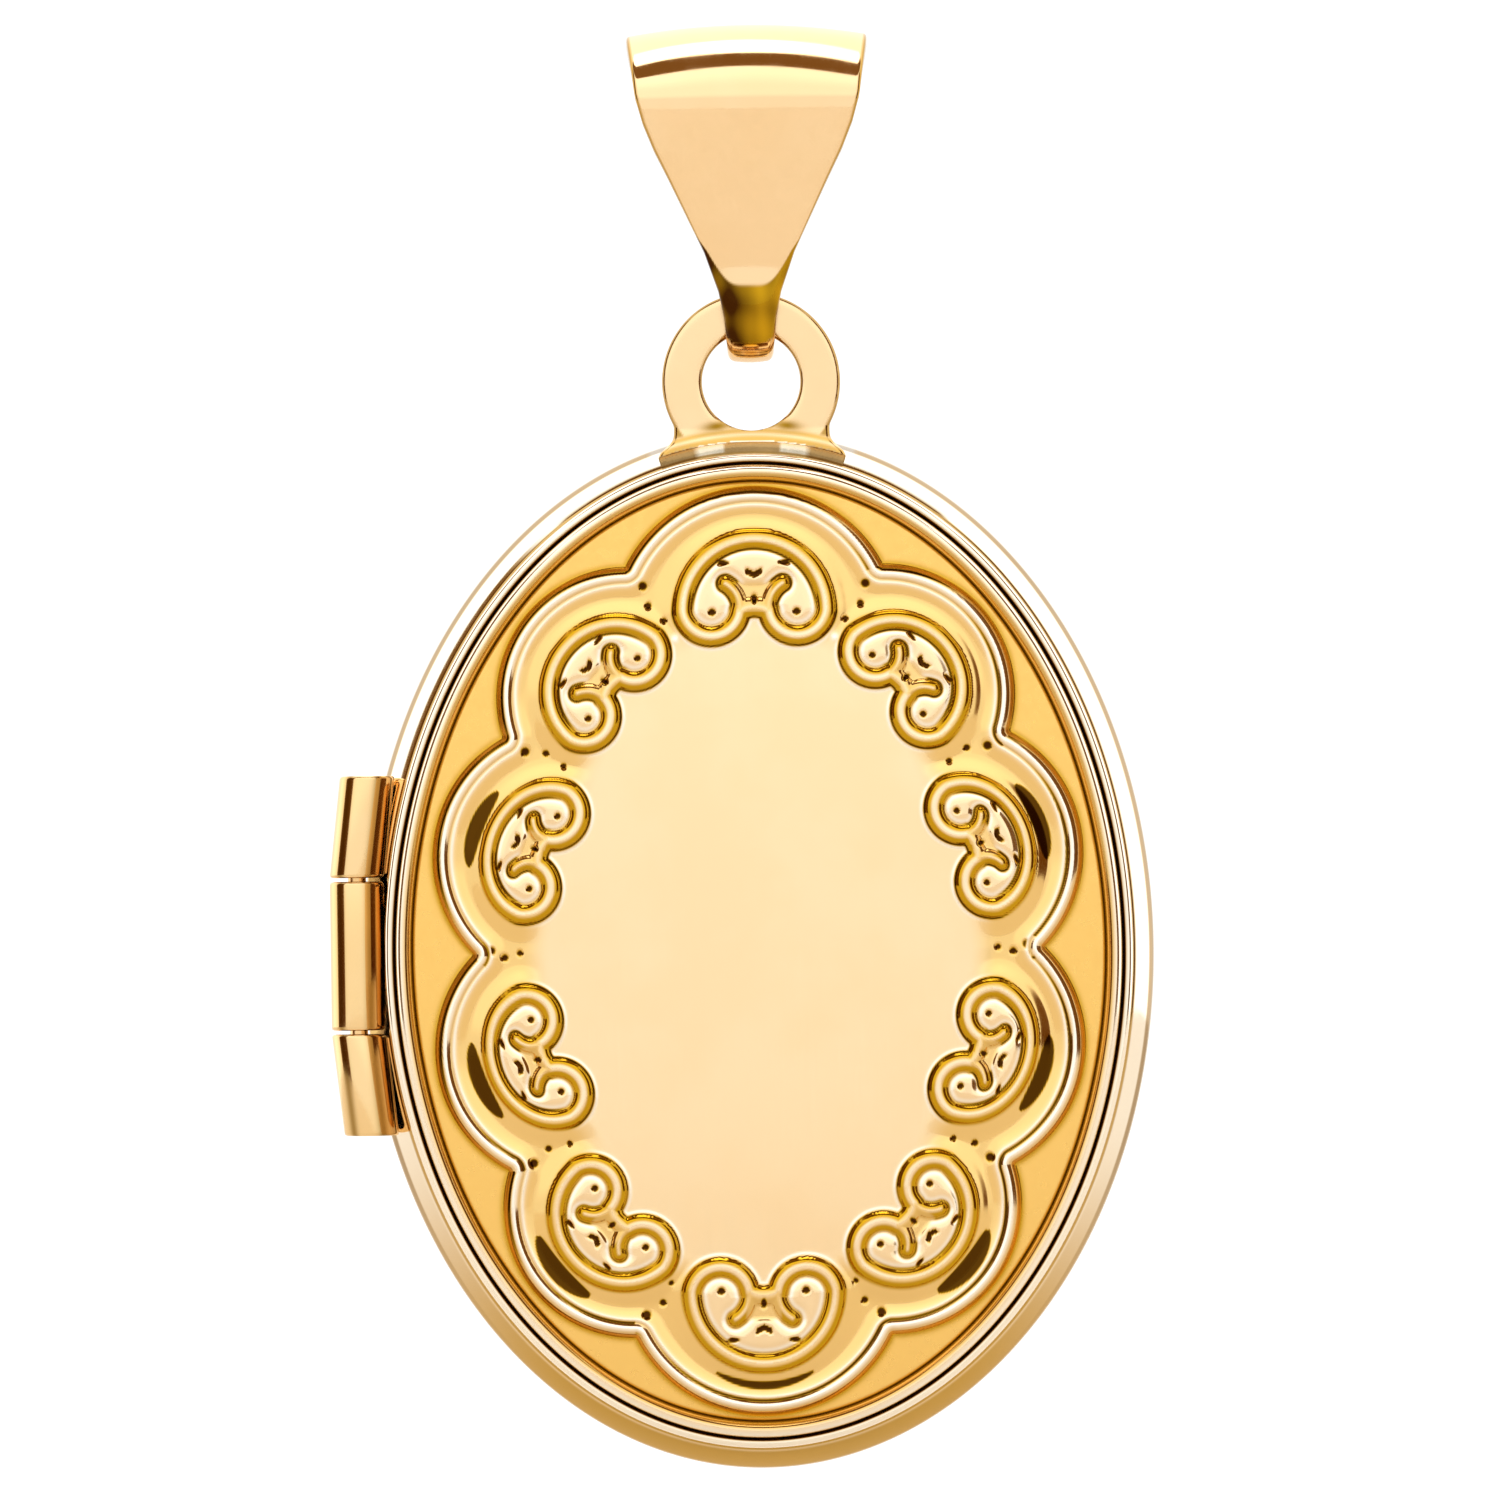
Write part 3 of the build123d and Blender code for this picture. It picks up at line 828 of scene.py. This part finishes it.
def back_rim():
    flange = [(7.09, GAP), (7.115, 0.03)] + arc_points((7.14, 0.05), (7.32, 0.25), (7.475, 0.50), 12)
    belly = arc_points((GIRDLE, 0.62), (GIRDLE - 0.10, 0.90), (LID + 0.05, LIP - 0.12), 12)
    lip = arc_points((LID + 0.02, LIP - 0.07), (LID - 0.05, LIP - 0.01), (PLATE + 0.005, LIP - 0.03), 6)
    profile = flange + belly + lip + [(PLATE + 0.005, SEAT)] + rim_inside(COLLAR + 0.01)
    profile = rounded(profile, 0.02, 2)
    points, quads = oval_ring(profile, RIM_ROUND, 1)
    radius = np.repeat([r for r, h in profile], RIM_ROUND)
    slope = np.repeat([h < 0.56 for r, h in profile], RIM_ROUND)
    below = smoothstep(-3, -8.5, points[:, 2])
    # a darker ochre patch on the flange just under the loop
    below_loop_patch = smoothstep(0.54, 0.50, np.abs(points[:, 0])) * (points[:, 2] > 9)
    # painted shade along the flange's outer edge, heavier away from the bottom; along the seam line where the
    # lid's wall stands; and over the slope towards the bottom of the case
    edge = slope * smoothstep(7.385, 7.42, radius)
    seam = smoothstep(7.155, 7.13, radius)
    satin = slope * smoothstep(7.12, 7.20, radius) * below
    painted_shade = np.maximum(0.15 * edge, 0.8 * satin)
    painted_shade = np.maximum(painted_shade, np.maximum(0.8 * seam, 0.7 * below_loop_patch))
    dark = np.max([0.55 * edge * (1 - 0.75 * below), 0.16 * satin, 0.15 * seam, 0.2 * below_loop_patch], axis=0)
    # painted highlight on the slope under the loop and on the slope away from the bottom
    under_loop = slope * smoothstep(8.8, 9.0, points[:, 2]) * smoothstep(2.0, 1.9, np.abs(points[:, 0]))
    pale = np.maximum(under_loop * (1 - below_loop_patch), 0.8 * slope * (1 - below) * (1 - edge))
    masks = {"painted_shade": painted_shade, "dark": dark, "pale": pale}
    rim = new_piece("back_rim_band", points, quads, RIM_GOLD, "back_half", ["back_rim"],
                    masks=masks, flip=True)
    count = 48
    t = np.arange(count) * 2 * math.pi / count
    ring = np.stack([HINGE_X + (KNUCKLE + 0.055) * np.cos(t), (KNUCKLE + 0.055) * np.sin(t)], -1)
    ring = np.stack([ring[:, 0], ring[:, 1], np.full(count, -OUTER_START - 0.05)], -1)
    cut(rim, ring, (0, 0, 2 * OUTER_START + 0.1))
    rim.data.shade_smooth()


def ring_piece(name, profile, side, material, body, node, corner=0.04):
    points, quads = oval_ring(rounded(profile, corner, 4), 360, side)
    return new_piece(name, points, quads, material, body, [node], flip=side > 0)


def inside_rings():
    collar = [(COLLAR, -0.40), (COLLAR, STEP), (COLLAR - 0.26, STEP), (COLLAR - 0.26, -0.40)]
    ring_piece("closing_collar_ring", collar, 1, INSIDE_GOLD, "back_half",
               "closing_collar", 0.08)
    rim = [(6.37, 0.69), (6.37, 0.42), (6.30, 0.40), (6.10, 0.41), (5.80, 0.58), (5.75, 0.66), (5.76, 0.69)]
    for side, body in ((-1, "front_half"), (1, "back_half")):
        word = body.split("_")[0]
        ring_piece(word + "_photo_frame_ring", rim[::-1], side, INSIDE_GOLD, body,
                   word + "_photo_frame", 0.03)


def disc(node, body, material):
    """Thin flat oval with softened edges, just inside the CAD piece's own box."""
    low, high = box_mm(node)
    inner, outer = sorted((abs(low[1]), abs(high[1])))
    inner, outer = inner + 0.01, outer - 0.01
    radius = high[0]
    soft = 0.4 * (outer - inner)
    lines, depths = [], []
    for s in (0.1, 0.4, 0.7, 0.99):
        lines.append(oval(radius - soft, 360) * s)
        depths.append(np.full(360, inner))
    for step_in, depth in ((soft, inner), (0.3 * soft, inner + 0.3 * soft), (0, inner + soft)):
        lines.append(oval(radius - step_in, 360))
        depths.append(np.full(360, depth))
    lines += lines[::-1]
    depths += [inner + outer - depth for depth in depths[::-1]]
    side = -1 if body == "front_half" else 1
    plate(node + "_disc", lines, depths, (inner, outer), side, material, body, node)


def cards_and_windows():
    for body in ("front_half", "back_half"):
        word = body.split("_")[0]
        disc(word + "_photo_card", body, PAPER)
        disc(word + "_photo_window", body, WINDOW)


# ---- hinge ----
def tube(name, low, high, body, node, lean=0.0, count=96):
    """A knuckle with soft edges, leaning towards the case away from the middle."""
    t = np.arange(count) * 2 * math.pi / count
    profile = rounded([(PIN_HOLE, low), (KNUCKLE, low), (KNUCKLE, high), (PIN_HOLE, high)], 0.07, 5)
    rows = []
    for radius, z in profile:
        shift = lean * max(0.0, abs(z) - OUTER_START) if radius > PIN_HOLE + 0.001 else 0.0
        x = HINGE_X + shift + radius * np.cos(t)
        rows.append(np.stack([x, radius * np.sin(t), np.full(count, z)], -1))
    # two painted reflection stripes down the front of each knuckle
    reflection_stripe = line_at(np.cos(t), -0.62, 0.13) + line_at(np.cos(t), 0.46, 0.17)
    reflection_stripe = np.tile(reflection_stripe * (np.sin(t) < 0), len(profile))
    quads = grid_quads(len(profile), count, wrap_rows=True)
    new_piece(name, np.concatenate(rows), quads, HINGE_GOLD, body, [node],
              masks={"painted_shade": 0.6 * reflection_stripe, "dark": 0.5 * reflection_stripe})


def hinge():
    tube("upper_knuckle_tube", OUTER_START, OUTER_END, "back_half", "upper_knuckle", LEAN)
    tube("lower_knuckle_tube", -OUTER_END, -OUTER_START, "back_half", "lower_knuckle", LEAN)
    tube("middle_knuckle_tube", -MIDDLE, MIDDLE, "front_half", "middle_knuckle")


# ---- suspension loop ----
def loop():
    """Flat ring with soft edges and a flared foot, melted together and trimmed to the case."""
    count = 160
    t = np.arange(count) * 2 * math.pi / count
    corners = [(LOOP_HOLE, -LOOP_HALF), (LOOP_OUT, -LOOP_HALF), (LOOP_OUT, LOOP_HALF), (LOOP_HOLE, LOOP_HALF)]
    section = rounded(corners, 0.10, 6)
    rows = [np.stack([r * np.cos(t), np.full(count, y), LOOP_Z + r * np.sin(t)], -1) for r, y in section]
    ring = np.concatenate(rows)
    ring_quads = grid_quads(len(section), count, wrap_rows=True)
    foot_rows = []
    for z, wide, thick in FOOT:
        outline = rounded([(-wide, -thick), (wide, -thick), (wide, thick), (-wide, thick)], 0.12, 4)
        foot_rows.append(np.array([(x, y, z) for x, y in outline]))
    width = len(foot_rows[0])
    caps = [list(range(width))[::-1], [(len(foot_rows) - 1) * width + k for k in range(width)]]
    mesh = bpy.data.meshes.new("suspension_ring")
    points = np.concatenate([ring] + foot_rows)
    quads = np.concatenate([ring_quads, grid_quads(len(foot_rows), width) + len(ring)])
    faces = [list(map(int, q)) for q in quads] + [[k + len(ring) for k in cap] for cap in caps]
    mesh.from_pydata(((points + CASE) * MM * MELT_SCALE).tolist(), [], faces)
    piece = bpy.data.objects.new("suspension_ring", mesh)
    bpy.context.scene.collection.objects.link(piece)
    melt = piece.modifiers.new("melt", "REMESH")
    melt.mode = "VOXEL"
    melt.voxel_size = 0.035
    soft = piece.modifiers.new("soft", "SMOOTH")
    soft.iterations = 8
    graph = bpy.context.evaluated_depsgraph_get()
    result = bpy.data.meshes.new_from_object(piece.evaluated_get(graph))
    piece.modifiers.clear()
    piece.data = result
    co = np.zeros(len(result.vertices) * 3)
    result.vertices.foreach_get("co", co)
    result.vertices.foreach_set("co", co / MELT_SCALE)
    result.materials.append(LOOP_GOLD)
    near = np.stack([LOOP_HOLE * np.cos(t), np.full(count, -1.0), LOOP_Z + LOOP_HOLE * np.sin(t)], -1)
    cut(piece, near[::-1], (0, 2, 0))
    lid = oval(LID + 0.24, 360)
    near = np.stack([lid[:, 0], np.full(360, -1.5), lid[:, 1]], -1)
    cut(piece, near[::-1], (0, 1.75, 0))
    piece.data.shade_smooth()
    spots = np.zeros(len(piece.data.vertices) * 3)
    piece.data.vertices.foreach_get("co", spots)
    spots = spots.reshape(-1, 3) / MM - CASE
    reach = np.hypot(spots[:, 0], spots[:, 2] - LOOP_Z)
    # painted shade round the ring's outer and inner edges and over the band above the foot, with a lighter
    # painted streak across it, and a painted shadow on each side; painted highlight on the foot below
    outer_brim = smoothstep(LOOP_OUT - 0.07, LOOP_OUT - 0.02, reach)
    brim = np.maximum(outer_brim, smoothstep(LOOP_HOLE + 0.06, LOOP_HOLE + 0.02, reach))
    above = spots[:, 2] - 9.65 + 0.092 * spots[:, 0] ** 2
    saddle = smoothstep(0.30, 0.20, above) * (above > 0.01)
    highlight_streak = line_at(above, 0.13, 0.035)
    shadow = line_at(np.abs(spots[:, 0]), 0.66, 0.26) * line_at(above, 0.33, 0.09)
    saddle_shade = 0.75 * saddle * (1 - 0.9 * highlight_streak)
    paint(piece, "painted_shade", np.maximum(0.75 * brim * (1 - saddle), np.maximum(saddle_shade, shadow)))
    paint(piece, "pale", above < 0.01)
    paint(piece, "dark", np.maximum(0.35 * brim * (1 - saddle), 0.45 * shadow))
    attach(piece, "back_half")
    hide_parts("suspension_loop")


# ---- bail ----
def straight(start, end, out, count=120):
    """Points strictly between two ends of a straight leg, with its outward direction."""
    return [(start[0] + (end[0] - start[0]) * s, start[1] + (end[1] - start[1]) * s, *out)
            for s in np.linspace(0, 1, count)[1:-1]]


def bend(radius, centre_z, first, last, count):
    """Points round a bend from one angle to another, with their outward directions."""
    path = []
    for a in np.linspace(first, last, count):
        path.append((radius * math.cos(a), centre_z + radius * math.sin(a), math.cos(a), math.sin(a)))
    return path


def bail_path():
    """Side view of the folded strip, as (y, z) on its middle line with the outward direction."""
    top, bottom = CHANNEL + STRIP / 2, NECK + STRIP / 2
    tilt = math.asin((top - bottom) / (CHANNEL_Z - NECK_Z))
    fold = bend(top, CHANNEL_Z, math.pi + tilt, -tilt, 64)
    neck = bend(bottom, NECK_Z, -tilt, -math.pi + tilt, 40)
    down = straight(fold[-1], neck[0], fold[-1][2:])
    up = straight(neck[-1], fold[0], neck[-1][2:])
    return fold + down + neck + up


BAIL_HEIGHTS = [11.1, 11.5, 12.0, 12.5, 13.25, 14.1, 14.65, 15.2, 15.7, 16.2, 16.9, 17.6]
BAIL_HALVES = [0.42, 0.45, 0.50, 0.60, 0.86, 1.26, 1.52, 1.79, 1.99, 2.13, 2.22, 2.31]


def bail_half_width(z):
    """Front outline of the bail: narrow neck, straight flare, nearly upright top."""
    return float(np.interp(z, BAIL_HEIGHTS, BAIL_HALVES))


def bail():
    """Closed belt of rounded strip sections, crowned across its width at the top fold."""
    rows, painted_shade, dark = [], [], []
    for y, z, out_y, out_z in bail_path():
        wide = bail_half_width(z)
        corner = 0.07 + 0.06 * float(smoothstep(13.2, 12.0, z))
        across = wide * np.sin(np.linspace(-math.pi / 2, math.pi / 2, 61))
        over = np.clip((np.abs(across) - wide + corner) / corner, 0, 1)
        face = STRIP / 2 - corner * (1 - np.sqrt(1 - over**2))
        section = list(zip(across, face)) + list(zip(across[::-1], -face[::-1]))
        lift = float(smoothstep(CHANNEL_Z, CHANNEL_Z + 1.2, z))
        ring = []
        for x, w in section:
            crown = -0.20 * (x / wide) ** 2 * lift
            crown += 0.05 * (1 - (x / wide) ** 2) * float(smoothstep(13.0, 12.2, z)) * (w > 0)
            ring.append((x, y + out_y * (w + crown), z + out_z * (w + crown)))
            # painted reflection: the neck dark ochre, darker to its left with a rippled pattern; painted
            # shade along the side edges
            boundary = 12.62 + 0.95 * abs(x / wide) ** 5
            neck = float(smoothstep(boundary + 0.03, boundary - 0.05, z))
            neck *= float(smoothstep(11.52, 11.60, z - 0.12 * (x / wide) ** 2))
            rim = float(smoothstep(0.965, 0.99, abs(x) / wide))
            painted_shade.append(max(neck, 0.85 * rim))
            reflection_ripple = 0.5 + 0.5 * math.sin(9 * x + 5 * z) * math.sin(4 * z - 7 * x)
            left = 0.65 * float(smoothstep(0.1, -0.4, x / wide)) + 0.55 * reflection_ripple
            dark.append(max(neck * left, 0.25 * rim))
        rows.append(np.array(ring))
    points = np.concatenate(rows)
    quads = grid_quads(len(rows), len(rows[0]), wrap_rows=True)
    new_piece("bail_strip", points, quads, BAIL_GOLD, "bail", ["bail"],
              masks={"painted_shade": painted_shade, "dark": dark})


# ---- CAD pieces that keep their own shape ----
def kept_nodes():
    for name, material in (
        ("catch_bead", INSIDE_GOLD),
        ("hinge_pin", PIN_GOLD),
    ):
        mesh = NODES[name].data
        mesh.materials.clear()
        mesh.materials.append(material)


# ---- studio ----
def studio():
    """Pale floor and a white tent of light with soft dark gaps."""
    world = bpy.data.worlds.new("studio")
    bpy.context.scene.world = world
    world.use_nodes = True
    n = Nodes(world.node_tree)
    way = n.add("ShaderNodeTexCoord").outputs["Generated"]
    split = n.add("ShaderNodeSeparateXYZ")
    n.set(split.inputs[0], way)
    x, y, z = split.outputs
    side = n.math("MULTIPLY", n.math("ARCTAN2", x, n.math("MULTIPLY", y, -1.0)), 180 / math.pi)
    turn = n.math("ABSOLUTE", side)
    rise = n.math("MULTIPLY", n.math("ARCSINE", z), 180 / math.pi)
    level = n.math("ADD", n.between(rise, 0.0, 8.0, 1.10, 1.32), n.between(rise, 18.0, 45.0, 0.0, 0.25))
    far = n.math("MAXIMUM", n.between(turn, 150.0, 120.0, 0.73, 1.0), n.between(rise, 30.0, 45.0))
    behind = n.math("MULTIPLY", n.between(turn, 82.0, 90.0), far)
    level = n.math("MAXIMUM", level, n.math("MULTIPLY", behind, 1.55))
    overhead = n.between(rise, 74.0, 78.0, 0.0, 1.6)
    level = n.math("ADD", level, overhead)
    left = n.math("MULTIPLY", n.between(side, -96.0, -92.0), n.between(side, -55.0, -59.0))
    right = n.math("MULTIPLY", n.between(side, 40.0, 44.0), n.between(side, 80.0, 76.0))
    sides = n.math("MULTIPLY", n.math("ADD", left, right), n.between(n.math("ABSOLUTE", rise), 52.0, 40.0))
    gap = n.math("MULTIPLY", n.between(rise, 50.0, 53.0), n.between(rise, 77.0, 74.0))
    gap = n.math("MULTIPLY", gap, n.between(turn, 100.0, 80.0))
    dark = n.math("MAXIMUM", sides, gap)
    level = n.math("MULTIPLY", level, n.math("SUBTRACT", 1.0, n.math("MULTIPLY", dark, 0.86)))
    tint = n.add("ShaderNodeCombineColor")
    low = n.math("MINIMUM", level, 1.0)
    high = n.math("MAXIMUM", level, 1.0)
    for channel, power in zip(tint.inputs, (1.0, 1.5, 2.4)):
        n.set(channel, n.math("MULTIPLY", n.math("POWER", low, power), high))
    tent = n.add("ShaderNodeBackground")
    n.set(tent.inputs["Color"], tint.outputs[0])
    tent.inputs["Strength"].default_value = 1.0
    backdrop = n.add("ShaderNodeBackground", in_Color=(1, 1, 1, 1), in_Strength=1.15)
    seen = n.add("ShaderNodeMixShader")
    n.set(seen.inputs[0], n.add("ShaderNodeLightPath").outputs["Is Camera Ray"])
    n.set(seen.inputs[1], tent.outputs[0])
    n.set(seen.inputs[2], backdrop.outputs[0])
    n.set(n.add("ShaderNodeOutputWorld").inputs[0], seen.outputs[0])

    floor_z = CAD_BOX[0][2] - 0.006
    mesh = bpy.data.meshes.new("floor")
    far = 0.14
    turns = np.arange(96) * 2 * math.pi / 96
    rim = [(far * math.cos(a), far * math.sin(a), floor_z) for a in turns]
    mesh.from_pydata(rim, [], [list(range(96))])
    floor = bpy.data.objects.new("floor", mesh)
    bpy.context.scene.collection.objects.link(floor)
    pale = bpy.data.materials.new("pale_floor")
    pale.use_nodes = True
    m = Nodes(pale.node_tree)
    shader = m.add("ShaderNodeBsdfPrincipled", in_Roughness=0.9)
    m.set(m.add("ShaderNodeOutputMaterial").inputs[0], shader.outputs[0])
    tone = m.mix(m.noise(3.0), (0.78, 0.735, 0.665, 1), (0.80, 0.755, 0.685, 1))
    m.set(shader.inputs["Base Color"], tone)
    mesh.materials.append(pale)


FRAME_WIDTH = 28.43
ROLL = math.radians(0.8)
AIM = (-0.118, 3.80)
DISTANCE = 0.42


def camera():
    """Straight on, tipped by the small roll of the photograph."""
    data = bpy.data.cameras.new("camera")
    data.sensor_width = 36.0
    data.lens = data.sensor_width * DISTANCE / (FRAME_WIDTH * MM)
    data.clip_start, data.clip_end = 0.01, 20
    eye = bpy.data.objects.new("camera", data)
    bpy.context.scene.collection.objects.link(eye)
    aim = (np.array([AIM[0], 0, AIM[1]]) + CASE) * MM
    eye.location = (aim[0], -DISTANCE, aim[2])
    look = Vector((0, 1, 0)).to_track_quat("-Z", "Y").to_matrix()
    eye.rotation_euler = (Matrix.Rotation(ROLL, 3, "Y") @ look).to_euler()
    bpy.context.scene.camera = eye
    bpy.context.scene.view_settings.view_transform = "Standard"


front_cover()
back_cover()
front_rim()
back_rim()
inside_rings()
cards_and_windows()
hinge()
loop()
bail()
kept_nodes()
studio()
camera()
